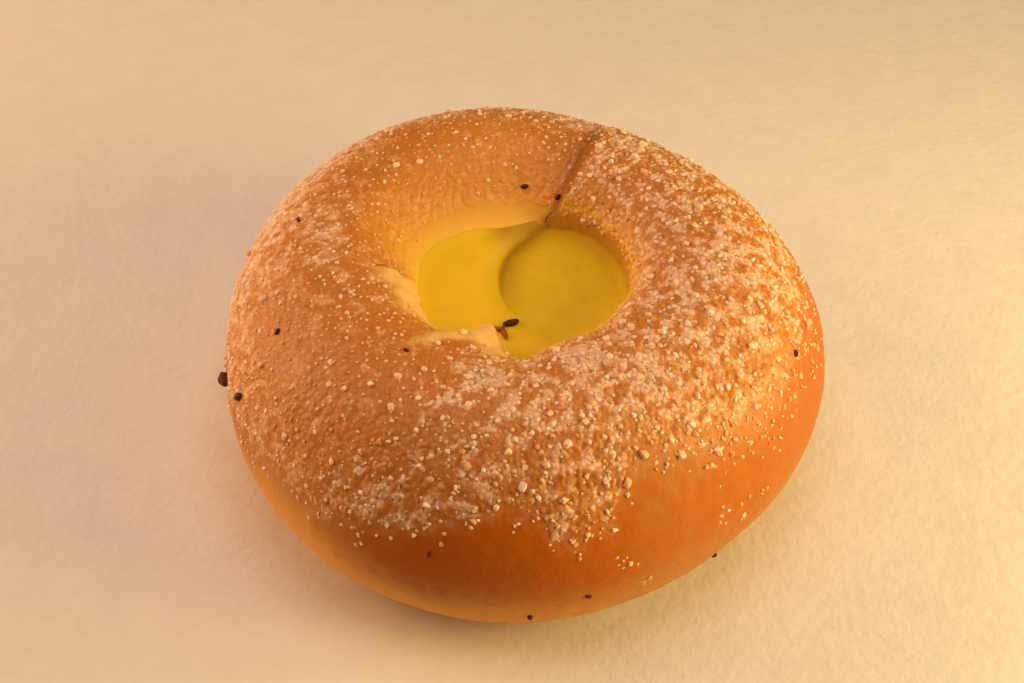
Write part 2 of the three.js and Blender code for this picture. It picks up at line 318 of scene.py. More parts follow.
# Seed specks on the crust: angle, station, length and how red they are.
SEED_SPECKS = (
    (89, -0.57, 1.2 * MM, 0.0),
    (201, 0.38, 1.0 * MM, 0.0),
    (192, 0.9, 3.0 * MM, 0.2),
    (203, 0.75, 1.9 * MM, 0.15),
    (254, 0.8, 0.9 * MM, 0.1),
    (271, 1.24, 1.2 * MM, 0.0),
    (281, 1.07, 0.9 * MM, 0.0),
    (309, 1.3, 0.9 * MM, 0.0),
    (340, 0.55, 1.1 * MM, 0.2),
    (232, -0.05, 0.9 * MM, 0.2),
    (72, -0.62, 1.1 * MM, 0.1),
    (166, 0.27, 1.0 * MM, 0.3),
    (120, 0.7, 1.3 * MM, 0.1),
    (38, 1.1, 1.2 * MM, 0.1),
)
SEED_WIDTH_SHARE = 0.56
SEED_PROUD_SHARE = 0.14
SEED_BEND = 0.1
SEED_RIDGES, SEED_RIDGE_HEIGHT = 5, 0.12
SEED_ROUGHNESS = 0.04
SEED_DRAWS = 5
UNEVEN_RED = 0.12
SEED_BLACK = (0.022, 0.008, 0.003)
HUSK_RED = (0.42, 0.1, 0.006)

# What is stuck in the custard: place, length, width, heading and how red it is.
CUSTARD_BITS = (
    (-1.7 * MM, -6.3 * MM, 2.4 * MM, 0.4, 18, 0.1),
    (-3.9 * MM, -7.4 * MM, 2.3 * MM, 0.3, -8, 0.95),
    (-2.6 * MM, -8.3 * MM, 2.4 * MM, 0.3, 110, 0.8),
    (-2.9 * MM, -7.2 * MM, 1.4 * MM, 0.4, 60, 0.45),
)

# The stage: half the floor's width, what the lights face,
# and each light's place, width, tint and spread in degrees.
FLOOR_HALF_WIDTH = 1.5
LIGHTS_FACE = Vector((0, 0, 0.02))
LAMPS = {
    "key": ((0.227, -0.061, 0.086), 0.15, (1.0, 0.79, 0.33), 140),
    "top": ((0.0, 0.0, 0.45), 0.3, (1.0, 0.81, 0.78), 180),
    "fill": ((-0.394, 0.106, 0.19), 0.3, (1.0, 0.67, 0.37), 180),
}
AMBIENT_TINT = (1.0, 0.78, 0.64)
SENSOR_WIDTH = 36
NEAREST_SEEN = 0.01


def amount(name, description, default, **kind):
    """A number property."""
    return FloatProperty(name=name, description=description, default=default, min=0, **kind)


def length(name, description, millimetres):
    """A length property, given in millimetres."""
    return amount(name, description, millimetres * MM, unit="LENGTH", subtype="DISTANCE", precision=5)


def colour(name, description, *rgb):
    """A colour property."""
    kind = {"size": 3, "subtype": "COLOR", "min": 0, "max": 1}
    return FloatVectorProperty(name=name, description=description, default=rgb, **kind)


class BunSizes(bpy.types.PropertyGroup):
    """Driving dimensions of the baked dough"""

    bun_radius: length("Radius", "Mean radius at the waist", 43)
    bun_height: length("Height", "Height of the crest", 35.7)
    waist_height: length("Waist height", "Height at which the bun is widest", 16)
    foot_radius: length("Foot radius", "Radius of the flat face that it stands on", 29.7)
    crest_radius: length("Crest radius", "Radius of the highest ring", 25)
    well_radius: length("Well radius", "Radius of the well's edge", 14.6)
    well_edge_height: length("Well edge", "Height of the well's edge", 29.2)
    well_taper: length("Well taper", "How much the well closes in towards its floor", 3.6)
    well_floor_height: length("Well floor", "Height of the well's floor", 17)
    golden: colour("Golden crust", "Lightly baked crust", 0.41, 0.16, 0.03)
    brown: colour("Brown crust", "Well baked crust", 0.47, 0.098, 0.0005)
    # Painted shade: this colour darkens the bottoms of the splits, the well's wall at the back right and the
    # right rim.
    fold_shade: colour("Folded crust", "Crust deep in a split or in shade", 0.33, 0.095, 0.006)
    crumb: colour("Torn crumb", "Pale dough where the crust has torn", 0.83, 0.475, 0.12)
    # Partly the less baked foot's own colour and partly painted light, the floor's bounce on the low side.
    pale: colour("Pale foot", "Crust low on the side, which baked least", 0.86, 0.365, 0.05)
    stain: colour("Stained dough", "Dough soaked yellow by the custard", 0.98, 0.47, 0.07)
    smear: colour("Smeared dough", "Dough at the custard's edge", 0.95, 0.58, 0.055)
    coat: colour("Sugar coat", "Wet sugar that clouds the crust", 0.64, 0.3, 0.12)


class CustardSizes(bpy.types.PropertyGroup):
    """Driving dimensions of the custard"""

    level: length("Level", "Height of the custard", 27.3)
    dollop_radius: length("Dollop radius", "Radius of the round dollop on the right", 12)
    dollop_rise: length("Dollop rise", "Height of the dollop's middle over its edge", 0.6)
    groove_depth: length("Groove depth", "Depth of the groove round the dollop", 0.7)
    groove_width: length("Groove width", "How far the groove runs over the dollop", 2.6)
    lobe_rise: length("Lobe rise", "Height of the lobe on the left", 0.5)
    lobe_width: length("Lobe width", "Width of the lobe's slope", 1.3)
    yellow: colour("Yellow", "Colour of the lobe on the left", 0.88, 0.545, 0.008)
    # Partly the dollop's own duller yellow and partly painted shade, where the right lip shades it.
    dull_and_shaded: colour("Dull yellow", "Colour of the dollop", 0.7, 0.45, 0.005)
    # Painted shade, in the groove round the dollop and below the back wall.
    deep: colour("Deep yellow", "Colour in the groove", 0.47, 0.235, 0.001)
    # Painted sheen along the lobe's edge; the faint flecks that it also colours are the custard's own.
    milky: colour("Milky yellow", "Colour of the streak along the lobe's edge", 0.88, 0.62, 0.12)


class SugarAmounts(bpy.types.PropertyGroup):
    """How much sugar lies on the crust, and what it is like"""

    coarse_per_cm2: amount("Coarse", "Coarse grains on a square centimetre", 118)
    fine_per_cm2: amount("Fine", "Fine grains on a square centimetre", 25)
    glint_per_cm2: amount("Glints", "Small clear grains on a square centimetre", 48)
    coarse_size: length("Coarse size", "Usual size of a coarse grain", 0.7)
    fine_size: length("Fine size", "Usual size of a fine grain", 0.48)
    glint_size: length("Glint size", "Usual size of a small clear grain", 0.45)
    melted_size: length("Melted size", "Usual size of a white grain that is melted to the next", 0.8)
    clear_size: length("Clear size", "Usual size of a clear grain", 1.0)
    seed: IntProperty(name="Seed", description="Start of the random draws", default=20, min=0)
    white: colour("White", "Dry sugar", 0.91, 0.56, 0.35)
    damp: colour("Damp", "Sugar that has begun to melt", 0.72, 0.34, 0.11)
    amber: colour("Amber", "Clear sugar that shows the crust below it", 0.57, 0.2, 0.02)
    gap: colour("Gap", "Crust between the grains", 0.42, 0.1, 0.006)


class StageSettings(bpy.types.PropertyGroup):
    """The floor, the camera and the lights"""

    floor: colour("Floor", "Colour of the plain floor", 0.7, 0.62, 0.52)
    elevation: amount("Elevation", "Camera's height over the horizon", math.radians(46), subtype="ANGLE")
    distance: length("Distance", "Camera's distance from the point that it looks at", 236.5)
    lens: amount("Lens", "Focal length on a 36 mm sensor", 57.6, subtype="DISTANCE_CAMERA")
    look: FloatVectorProperty(
        name="Look at",
        description="Point that the camera looks at",
        default=(-1.58 * MM, -0.59 * MM, 18 * MM),
        subtype="XYZ",
    )
    key_power: amount("Key", "Power of the warm light on the right", 0.54, subtype="POWER")
    top_power: amount("Top", "Power of the light overhead", 0.82, subtype="POWER")
    fill_power: amount("Fill", "Power of the light behind on the left", 1.75, subtype="POWER")
    ambient: amount("Ambient", "Strength of the light from all round", 0.09)


def mix(low, high, part):
    """A value between two others: low at a part of 0, and high at 1."""
    return low + (high - low) * part


def smoothstep(low, high, value):
    """0 up to low, 1 from high on, and eased between them."""
    part = np.clip((value - low) / (high - low), 0, 1)
    return part * part * (3 - 2 * part)


def wrapped(angle):
    """An angle in degrees, wrapped into -180 to 180."""
    return (angle + 180) % 360 - 180


def soft(offset, half_width, power=2):
    """1 where an offset is 0, fading to 0 past a half width."""
    return np.exp(-((offset / half_width) ** power))


def near(angle, at, half_width, power=2):
    """1 at one angle, fading to 0 past a half width."""
    return soft(wrapped(angle - at), half_width, power)


def patch(angle, station, at, half_width, along, half_length):
    """1 in the middle of a patch of crust, fading to 0 past its half width and its half length."""
    return near(angle, at, half_width) * soft(station - along, half_length)


def bump_sum(bumps, angle):
    """The sum of smooth bumps at an angle."""
    return sum(reach * near(angle, at, half_width) for at, half_width, reach in bumps)


def polar(angle, radius, height):
    """Points from an angle in degrees, a radius and a height."""
    turn = np.radians(angle)
    return np.stack(np.broadcast_arrays(radius * np.cos(turn), radius * np.sin(turn), height), axis=-1)


def shifted(places, size, shift):
    """Places as a list of points in units of a size, shifted."""
    return (places.reshape(-1, 3) / size + shift).tolist()


def noise_at(places, size, seed=0):
    """Smooth noise from about -1 to 1 at places, with lumps of a size."""
    values = [noise.noise(place) for place in shifted(places, size, NOISE_SHIFT * seed)]
    return np.reshape(values, places.shape[:-1])


def lumps_at(places, lumps):
    """The sum of several noises at places."""
    return sum(height * noise_at(places, size, seed) for height, size, seed in lumps)


def pebbles_at(places, size, seed=0):
    """1 in the middle of each pebble of a size and 0 in the gaps between them."""
    gap = 0.45
    pairs = [noise.voronoi(place)[0][:2] for place in shifted(places, size, PEBBLE_SHIFT * seed)]
    nearest, second = np.array(pairs).T
    return smoothstep(0, gap, second - nearest).reshape(places.shape[:-1])


def grains_at(places, size, seed=0):
    """Round grains of a size: up to 1 at the top of a grain, some lower than others, and 0 in the gaps."""
    radius, lowest, pick = 0.75, 0.75, 7.3
    heights = []
    for place in shifted(places, size, GRAIN_SHIFT * seed):
        distances, middles = noise.voronoi(place)
        highest = mix(lowest, 1, noise.cell(middles[0] * pick))
        heights.append(highest * max(0.0, 1 - (distances[0] / radius) ** 2))
    return np.reshape(heights, places.shape[:-1])


def clumps_at(places):
    """How thickly sugar is heaped at places, from 0 to 1."""
    return smoothstep(-CLUMP_FADE, CLUMP_FADE, noise_at(places, CLUMP_SIZE, 6))


class BunForm:
    """The bun's shape as functions of an angle and a station on its section.

    Angles are in degrees from +X to +Y. Stations run from the foot's middle, 3, by the foot's edge, 2,
    the waist, 1, the crest, 0, the well's edge, -1, and its floor, -2, to the floor's middle, -3.
    """

    def __init__(self, sizes):
        self.sizes = sizes

    def outline(self, angle):
        """Radius of the waist."""
        swells = (swell * np.cos(np.radians(waves * (angle - peak))) for waves, swell, peak in OUTLINE_WAVES)
        return self.sizes.bun_radius + sum(swells)

    def edge_radius(self, angle):
        """Radius of the well's edge."""
        return self.sizes.well_radius + bump_sum(EDGE_BUMPS, angle)

    def edge_height(self, angle):
        """Height of the well's edge."""
        return self.sizes.well_edge_height + bump_sum(EDGE_HEIGHT_BUMPS, angle)

    def wall_radius(self, angle, height):
        """Radius of the well's wall at a height."""
        brink = self.edge_height(angle)
        depth = np.clip((brink - height) / (brink - self.sizes.well_floor_height), 0, 1)
        return self.edge_radius(angle) - self.sizes.well_taper * depth**2

    def funnel_share(self, angle):
        """1 where the crust runs down to the custard as a funnel, and 0 where the well has a lip."""
        turned = angle % 360
        return smoothstep(*FUNNEL_FROM, turned) * (1 - smoothstep(*FUNNEL_TO, turned))

    def split_line(self, split, station):
        """The angle at which a split runs. It bends as it nears the well."""
        line, bend, *_ = split
        return line + bend * np.clip(-station, 0, 1) ** 3

    def past_split(self, split, angle, station):
        """Degrees past a split, positive on its sunken side."""
        return split[2] * wrapped(angle - self.split_line(split, station))

    def along_split(self, split, station):
        """1 along a split, fading to 0 at its outer end."""
        outer_end = split[-1]
        return 1 - smoothstep(outer_end - SPLIT_FADE, outer_end, station)

    def split_drop(self, split, angle, station):
        """How far the crust has dropped past a split."""
        *_, drop, ease, _ = split
        past = self.past_split(split, angle, station)
        sunk = smoothstep(0, SPLIT_WIDTH, past) * np.exp(-np.maximum(past, 0) / ease)
        return drop * self.along_split(split, station) * sunk

    def fold_shade(self, split, bottom, angle, station):
        """1 in the bottom of one split, fading to 0 beside it and at its outer end."""
        past, half_width = bottom
        across = soft(self.past_split(split, angle, station) - past, half_width)
        return across * self.along_split(split, station)

    def fold_share(self, angle, station):
        """1 in the bottom of the splits, where shade is painted and no sugar lies, fading to 0 beside them.
        """
        eased = mix(1, EASED_CREASE, smoothstep(*CREASE_EASES, station))
        crease = eased * self.fold_shade(CREASE, CREASE_BOTTOM, angle, station)
        pit = TEAR_DARKNESS * self.fold_shade(TEAR, TEAR_BOTTOM, angle, station) * smoothstep(*TEAR_ENDS, station)
        return np.maximum(crease, pit) * smoothstep(*SPLITS_END, station)

    def section(self, angle, station):
        """Radius and height of the section."""
        sizes = self.sizes
        outline = self.outline(angle)
        foot = sizes.foot_radius * outline / sizes.bun_radius
        crest = sizes.crest_radius * outline / sizes.bun_radius
        edge, brink = self.edge_radius(angle), self.edge_height(angle)
        heel, shoulder, lip = (station - 1) * QUARTER_TURN, station * QUARTER_TURN, -station * QUARTER_TURN
        funnel = self.funnel_share(angle)
        inward = mix(np.sin(lip), -station, funnel)
        down = mix(1 - np.cos(lip), smoothstep(0, 1, -station), funnel)
        wall_height = mix(brink, sizes.well_floor_height, -1 - station)
        floor_radius = self.wall_radius(angle, sizes.well_floor_height)
        stretches = [station >= 2, station >= 1, station >= 0, station >= -1, station >= -2]
        radius = np.select(
            stretches,
            [
                foot * (3 - station),
                mix(foot, outline, np.cos(heel)),
                mix(crest, outline, np.sin(shoulder)),
                mix(crest, edge, inward),
                self.wall_radius(angle, wall_height),
            ],
            floor_radius * (3 + station),
        )
        height = np.select(
            stretches,
            [
                np.zeros_like(outline + station),
                sizes.waist_height * (1 - np.sin(heel)),
                mix(sizes.waist_height, sizes.bun_height, np.cos(shoulder)),
                mix(sizes.bun_height, brink, down),
                wall_height,
            ],
            sizes.well_floor_height,
        )
        return radius, height + FOOT_HEIGHT

    def smooth_point(self, angle, station):
        """A point of the skin, with the splits let in and no finer relief."""
        radius, height = self.section(angle, station)
        wall_fade = np.interp(station, SPLIT_WALL_FADE, (0, 1))
        drop = self.split_drop(CREASE, angle, station) + self.split_drop(TEAR, angle, station)
        return polar(angle, radius, height - drop * wall_fade)

    def normal(self, angle, station):
        """Outward normal of the smooth skin."""
        turn, step, least = 0.5, 0.01, 1e-12
        round_it = self.smooth_point(angle + turn, station) - self.smooth_point(angle - turn, station)
        inward = self.smooth_point(angle, station - step) - self.smooth_point(angle, station + step)
        across = np.cross(round_it, inward)
        return across / np.maximum(np.linalg.norm(across, axis=-1, keepdims=True), least)

    def beyond_edge(self, angle, places):
        """How far places lie outside the well's edge, or 0 inside it."""
        return np.maximum(np.hypot(places[..., 0], places[..., 1]) - self.edge_radius(angle), 0)

    def stain_share(self, angle, places):
        """How much custard the dough has soaked up: all at the well's edge, and less away from it."""
        funnel = self.funnel_share(angle)
        funnel_reach = mix(FUNNEL_STAIN_REACH, WETTEST_STAIN_REACH, near(angle, *WETTEST))
        reach = mix(STAIN_REACH, funnel_reach, funnel)
        return mix(STAIN_ROUND_WELL, 1, funnel) * np.exp(-self.beyond_edge(angle, places) / reach)

    def smear_share(self, angle, places):
        """How much custard is smeared on the dough, close to the well's edge."""
        return np.exp(-self.beyond_edge(angle, places) / mix(*SMEAR_REACH, self.funnel_share(angle)))

    def torn_share(self, angle, station, places):
        """Share of bare crumb: the pale rim in front of the tear, and the flap."""
        ragged = noise_at(places, TORN_LUMP, 9)
        beyond = self.beyond_edge(angle, places)
        width = np.interp(angle + ragged, PALE_RIM_ANGLES, PALE_RIM_WIDTHS, left=0, right=0)
        across_rim = beyond / np.maximum(width, THINNEST_RIM) + RAGGED_RIM * ragged
        rim = (1 - smoothstep(*PALE_RIM_FADE, across_rim)) * (width > THINNEST_RIM)
        sideways = np.abs(wrapped(angle - FLAP_ANGLE)) + RAGGED_SIDES * ragged
        outwards = beyond + RAGGED_REACH * ragged
        flap = (1 - smoothstep(*FLAP_SIDES, sideways)) * (1 - smoothstep(*FLAP_REACH, outwards))
        return np.maximum(rim, flap) * smoothstep(*TORN_ENDS, station)

    def pebbles(self, angle, station, places):
        """Height of the melted sugar that pebbles the crust, from 0 in the gaps to 1."""
        heights = sum(share * pebbles_at(places, size, seed) for share, size, seed in PEBBLES)
        return clear_cover(self, angle, station, places) * heights

    def relief(self, angle, station, places):
        """Height of the crust's lumps and pebbles at places on the smooth skin."""
        crumbly = self.torn_share(angle, station, places) * lumps_at(places, CRUMB_LUMPS)
        pebbled = PEBBLE_HEIGHT * (self.pebbles(angle, station, places) - 0.5)
        fade = (1 - smoothstep(*FOOT_FADE, station)) * smoothstep(*WELL_FADE, station)
        return (lumps_at(places, CRUST_LUMPS) + crumbly + pebbled) * fade

    def point(self, angle, station):
        """A point of the finished skin."""
        places = self.smooth_point(angle, station)
        return places + self.normal(angle, station) * self.relief(angle, station, places)[..., None]


def past_dollop(sizes, x, y):
    """How far a place on the custard lies outside the dollop, and how much of the groove runs there."""
    out_x, out_y = x - DOLLOP_CENTRE[0], y - DOLLOP_CENTRE[1]
    bearing = wrapped(np.degrees(np.arctan2(out_y, out_x)) - GROOVE_ANGLE)
    beside = np.cos(QUARTER_TURN * np.clip(bearing / GROOVE_SPREAD, -1, 1))
    uneven = DOLLOP_SWELL * np.cos(np.radians(DOLLOP_WAVES * bearing))
    return np.hypot(out_x, out_y) - sizes.dollop_radius - uneven, beside


def groove_share(sizes, out):
    """How deep the groove is: deepest under the lobe's edge, and less over the dollop."""
    return (1 - smoothstep(*GROOVE_WALL, out)) * soft(np.maximum(LOBE_EDGE - out, 0), sizes.groove_width)


def custard_height(sizes, x, y):
    """Height of the custard's top: a dollop, a groove round its left and back, and a lobe over the groove."""
    out, beside = past_dollop(sizes, x, y)
    dollop = sizes.dollop_rise * np.maximum(0, 1 - (1 + out / sizes.dollop_radius) ** 2)
    groove = sizes.groove_depth * beside * groove_share(sizes, out)
    lobe = sizes.lobe_rise * beside * smoothstep(LOBE_TOE, LOBE_EDGE + sizes.lobe_width, out)
    return FOOT_HEIGHT + sizes.level + dollop - groove + lobe


def closed_rings(rings, segments):
    """Faces of a surface of revolution: a first pole, rings of points, and a last pole."""
    starts = 1 + segments * np.arange(rings)[:, None]
    here = starts + np.arange(segments)
    on = starts + (np.arange(segments) + 1) % segments
    quads = np.stack([here[:-1], on[:-1], on[1:], here[1:]], axis=-1).reshape(-1, 4)
    first = np.stack([np.zeros(segments, int), on[0], here[0]], axis=-1)
    last = np.stack([np.full(segments, 1 + rings * segments), here[-1], on[-1]], axis=-1)
    return quads.tolist() + first.tolist() + last.tolist()


def new_piece(context, name, vertices, faces, finish, smooth=True, **values):
    """A mesh object with a finish, and with numbers for its points that the finish reads by name."""
    mesh = bpy.data.meshes.new(name)
    mesh.from_pydata(vertices.tolist(), [], faces)
    if mesh.validate():
        raise RuntimeError(f"{name} has faces that don't hold together")
    for key, numbers in values.items():
        attribute = mesh.attributes.new(key, "FLOAT", "POINT")
        attribute.data.foreach_set("value", np.ascontiguousarray(numbers, np.float32))
    if smooth:
        mesh.shade_smooth()
    else:
        mesh.shade_flat()
    mesh.materials.append(finish)
    piece = bpy.data.objects.new(name, mesh)
    context.scene.collection.objects.link(piece)
    return piece


class Value:
    """A socket in a material. Arithmetic on it adds Math nodes."""

    def __init__(self, finish, socket):
        self.finish = finish
        self.socket = socket

    def maths(self, operation, first, second):
        inputs = {"Value": first, "Value_001": second}
        return self.finish.node("ShaderNodeMath", {"operation": operation}, inputs)["Value"]

    def __add__(self, other):
        return self.maths("ADD", self, other)

    def __sub__(self, other):
        return self.maths("SUBTRACT", self, other)

    def __mul__(self, other):
        return self.maths("MULTIPLY", self, other)

    def __rsub__(self, other):
        return self.maths("SUBTRACT", other, self)

    __radd__ = __add__
    __rmul__ = __mul__

    def between(self, low, high):
        """This value, eased from 0 at low to 1 at high."""
        inputs = {"Value": self, "From Min": low, "From Max": high}
        return self.finish.node("ShaderNodeMapRange", {"interpolation_type": "SMOOTHSTEP"}, inputs)["Result"]


class Finish:
    """A procedural material round one Principled shader."""

    def __init__(self, name):
        self.material = bpy.data.materials.new(name)
        self.material.use_nodes = True
        self.tree = self.material.node_tree
        self.shader = self.tree.nodes["Principled BSDF"]

    def node(self, kind, settings=None, inputs=None):
        """Adds a node, with its settings and with values or links for its sockets. Gives its outputs."""
        made = self.tree.nodes.new(kind)
        for key, value in (settings or {}).items():
            setattr(made, key, value)
        self.feed(made, inputs or {})
        return {socket.identifier: Value(self, socket) for socket in made.outputs}

    def feed(self, node, inputs):
        """Sets or links a node's sockets."""
        sockets = {socket.identifier: socket for socket in node.inputs}
        for key, value in inputs.items():
            if isinstance(value, Value):
                self.tree.links.new(value.socket, sockets[key])
            else:
                sockets[key].default_value = value

    def shade(self, **inputs):
        """Sets or links the shader's sockets, with spaces in their names given as underscores."""
        self.feed(self.shader, {key.replace("_", " "): value for key, value in inputs.items()})
        return self.material

    def place(self):
        """Where a point lies in the object's own frame."""
        return self.node("ShaderNodeTexCoord")["Object"]

    def number(self, name):
        """A number that the mesh holds for its points."""
        return self.node("ShaderNodeAttribute", {"attribute_name": name})["Fac"]

    def noise(self, size, detail=2.0, roughness=0.5):
        """Soft noise from 0 to 1 with lumps of a size."""
        inputs = {"Vector": self.place(), "Scale": 1 / size, "Detail": detail, "Roughness": roughness}
        return self.node("ShaderNodeTexNoise", None, inputs)["Fac"]

    def cells(self, size, feature):
        """Cells of a size: a distance, and a number from 0 to 1 for each cell."""
        inputs = {"Vector": self.place(), "Scale": 1 / size}
        made = self.node("ShaderNodeTexVoronoi", {"feature": feature}, inputs)
        return made["Distance"], made.get("Color")

    def blend(self, first, second, part):
        """A colour between two colours."""
        inputs = {"Factor_Float": part, "A_Color": opaque(first), "B_Color": opaque(second)}
        return self.node("ShaderNodeMix", {"data_type": "RGBA"}, inputs)["Result_Color"]

    def bump(self, height, depth, strength=1.0):
        """A normal from heights between 0 and 1 that stand for a depth."""
        inputs = {"Height": height, "Distance": depth, "Strength": strength}
        return self.node("ShaderNodeBump", None, inputs)["Normal"]


def opaque(rgb):
    """A colour with its alpha, or a link as it is."""
    return rgb if isinstance(rgb, Value) else (*rgb, 1.0)


def crust_finish(sizes):
    """Baked crust: pebbled with melted sugar on top, smooth and browner down the side, pale where torn."""
    finish = Finish("baked_crust")
    mottle = finish.noise(3.2 * MM, 4.0, 0.6)
    spots = finish.noise(1.5 * MM, 2.0, 0.5)
    grain = finish.noise(0.5 * MM, 3.0, 0.6)
    pebbled = finish.number("pebbled")
    gaps = pebbled - finish.number("pebble")
    browning = (finish.number("browning") + (mottle - 0.5) * 0.9 + (spots - 0.5) * 0.5).between(0.0, 1.0)
    # The pale foot is partly its own colour and partly a painted floor bounce.
    golden = finish.blend(sizes.golden, sizes.pale, finish.number("pale") + (mottle - 0.5) * 0.5)
    baked = finish.blend(golden, sizes.brown, browning)
    veined = finish.blend(baked, sizes.brown, gaps.between(0.3, 1.0) * 0.45)
    cloud = finish.number("sugared") * (0.25 + finish.noise(0.9 * MM, 2.0).between(0.35, 0.7) * 0.6)
    coated = finish.blend(veined, sizes.coat, cloud)
    stained = finish.blend(coated, sizes.stain, finish.number("stained"))
    smeared = finish.blend(stained, sizes.smear, finish.number("smeared") * (0.6 + spots * 0.5))
    # Painted shade in the bottoms of the splits, on the well's wall at the back right and on the right rim.
    folded = finish.blend(smeared, sizes.fold_shade, finish.number("folded"))
    torn = finish.blend(folded, sizes.crumb, (finish.number("torn") + (mottle - 0.5) * 0.3).between(0.1, 0.9))
    return finish.shade(
        Base_Color=torn,
        Roughness=0.52 - pebbled * 0.14 + (mottle - 0.5) * 0.2,
        Normal=finish.bump(mottle * 0.5 + spots * 0.5 + grain * (0.15 + pebbled * 0.3), 0.25 * MM, 0.8),
        Specular_IOR_Level=0.2,
        Specular_Tint=(1.0, 0.72, 0.42, 1.0),
    )


def custard_finish(sizes):
    """Set custard: smooth, glossy and a little see-through."""
    finish = Finish("set_custard")
    streaks = finish.noise(4.5 * MM, 3.0)
    skin = finish.noise(0.8 * MM, 3.0)
    flecks = finish.noise(1.4 * MM, 3.0).between(0.5, 0.8)
    # The dollop's duller yellow is partly its own and partly painted shade.
    body = finish.blend(sizes.yellow, sizes.dull_and_shaded, finish.number("dollop") + (streaks - 0.5) * 0.7)
    # The milky streak is a painted sheen; the flecks are the custard's own.
    creamy_with_sheen = finish.blend(body, sizes.milky, finish.number("milky") * streaks + flecks * 0.12)
    return finish.shade(
        # Painted shade in the groove and below the back wall.
        Base_Color=finish.blend(creamy_with_sheen, sizes.deep, finish.number("sunken")),
        Roughness=0.42 + skin * 0.16,
        Normal=finish.bump(streaks + skin * 0.25, 0.25 * MM, 0.35),
        Subsurface_Weight=0.3,
        Subsurface_Radius=(1.0, 0.6, 0.1),
        Subsurface_Scale=2.0 * MM,
        Specular_IOR_Level=0.25,
    )


def sugar_finish(amounts, sizes):
    """Sugar crystals: white, soaked to amber, or yellow near the custard. In a sheet each grain differs."""
    finish = Finish("sugar_crystals")
    frost = finish.noise(0.5 * MM, 2.0)
    melted = finish.number("melted")
    middle, pick = finish.cells(amounts.melted_size, "F1")
    edge, _ = finish.cells(amounts.melted_size, "DISTANCE_TO_EDGE")
    gaps = melted * finish.number("gaps") * (1 - edge.between(0.0, 0.3))
    soaked = finish.number("soaked") + melted * (pick - 0.5) * 0.9
    damp = finish.blend(amounts.white, amounts.damp, soaked.between(0.0, 0.5))
    soaked_through = finish.blend(damp, amounts.amber, soaked.between(0.5, 1.0))
    parted = finish.blend(soaked_through, amounts.gap, gaps)
    stained = finish.blend(parted, sizes.stain, finish.number("stained"))
    smeared = finish.blend(stained, sizes.smear, finish.number("smeared"))
    return finish.shade(
        Base_Color=finish.blend(smeared, sizes.crumb, finish.number("torn").between(0.1, 0.9)),
        Roughness=0.2 + frost * 0.3 + melted * 0.15,
        Normal=finish.bump(melted * (1 - middle), 0.3 * MM, 0.5),
        Specular_IOR_Level=0.35,
        Subsurface_Weight=0.9,
        Subsurface_Radius=(1.0, 0.9, 0.8),
        Subsurface_Scale=0.5 * MM,
    )


def seed_finish():
    """Crushed seed: nearly black, with reddish husks."""
    finish = Finish("crushed_seed")
    grain = finish.noise(0.3 * MM, 3.0)
    reddish = finish.number("reddish") + (grain - 0.5) * 0.4
    return finish.shade(
        Base_Color=finish.blend(SEED_BLACK, HUSK_RED, reddish),
        Roughness=0.45 + grain * 0.3,
        Specular_IOR_Level=0.2,
        Normal=finish.bump(grain, 0.1 * MM, 0.6),
    )


def floor_finish(stage):
    """A plain pale floor with a faint mottle."""
    finish = Finish("pale_floor")
    mottle = finish.noise(6 * MM, 4.0, 0.6)
    lighter = [min(1.0, part * 1.05) for part in stage.floor]
    return finish.shade(
        Base_Color=finish.blend(stage.floor, lighter, mottle.between(0.3, 0.7)),
        Roughness=0.8,
        Normal=finish.bump(finish.noise(1.6 * MM, 3.0), 0.4 * MM, 0.3),
    )


def crystal_low_edge(angle):
    """Station of the lower edge of the largest crystals."""
    return CRYSTAL_LOW_EDGE + bump_sum(CRYSTAL_TONGUES, angle)


def bare_share(form, angle, station, places):
    """1 where the crust has no sugar, because it is torn or lies in the bottom of a split."""
    torn = smoothstep(*BARE_FROM, form.torn_share(angle, station, places))
    return np.maximum(torn, form.fold_share(angle, station))


def fringe(angle):
    """Station of the lower edge of the dry white sugar."""
    angles, stations = np.array(SUGAR_FRINGE).T
    turned = (angle - angles[0]) % 360 + angles[0]
    return np.interp(turned, angles, stations)


def dry_area(form, angle, station, places, loose=0.0):
    """1 inside the borders of the dry white sugar, 0 outside them. Loose grains reach further down."""
    ragged = noise_at(places, DRY_RAGGED_SIZE, 5)
    border = np.interp(station, *np.array(SUGAR_BORDER).T) + DRY_RAGGED_BORDER * ragged
    past_border = (angle - border) % 360
    sector = (form.split_line(CREASE, station) - border) % 360
    in_sector = smoothstep(*DRY_BORDER_FADE, past_border) * smoothstep(*DRY_CREASE_FADE, sector - past_border)
    fade = mix(*DRY_EDGE_FADE, near(angle, *DRY_SOFT_EDGE))
    low_edge = fringe(angle) + DRY_RAGGED_EDGE * ragged
    above = 1 - smoothstep(low_edge - fade, low_edge + fade / 2 + loose, station)
    return in_sector * above * (1 - bare_share(form, angle, station, places))


def dryness_and_painted_light(angle, station):
    """How much drier than elsewhere the sugar is, with painted rim light and painted shade in some patches.
    """
    return sum(drier * patch(angle, station, *where) for *where, drier in DRY_AND_PAINTED_LIGHT_PATCHES)


def dry_cover(form, angle, station, places):
    """How thickly loose white sugar lies on the crust, from 0 to 1."""
    clumped = mix(DRY_BETWEEN_CLUMPS, 1, clumps_at(places))
    heaped = dry_area(form, angle, station, places, DRY_LOOSE_REACH) * clumped
    thin = np.clip(THIN_DRY + THIN_DRY_IN_PATCH * dryness_and_painted_light(angle, station), 0, 1)
    return np.maximum(heaped, thin * clear_cover(form, angle, station, places))


